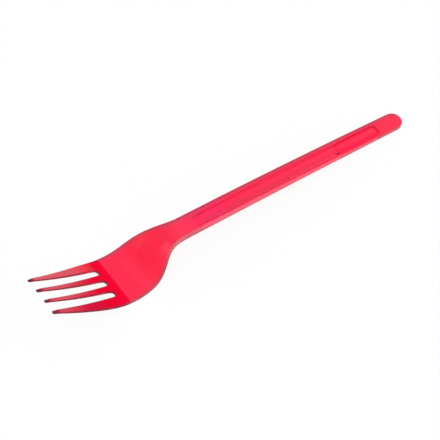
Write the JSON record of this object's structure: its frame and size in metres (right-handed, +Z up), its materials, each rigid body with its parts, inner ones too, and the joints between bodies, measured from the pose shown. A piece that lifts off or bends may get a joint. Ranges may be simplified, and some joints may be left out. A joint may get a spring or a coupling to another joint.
{
  "type": "plastic fork",
  "caption": "Disposable table fork in translucent red plastic with tapered tines, a dished frosted palm and a long handle channelled underneath.",
  "frame": {"origin": "on the table the fork lies on, under the middle of its length and width", "axes": "+X from the tine tips towards the handle end, +Z up from the table, with the eating side up"},
  "size_m": [0.1802, 0.0252, 0.0209],
  "materials": {
    "fork": "translucent red, frosted on the palm and handle, clear and polished on the tines"
  },
  "bodies": {
    "root": {"fork": "fork"}
  },
  "joints": []
}
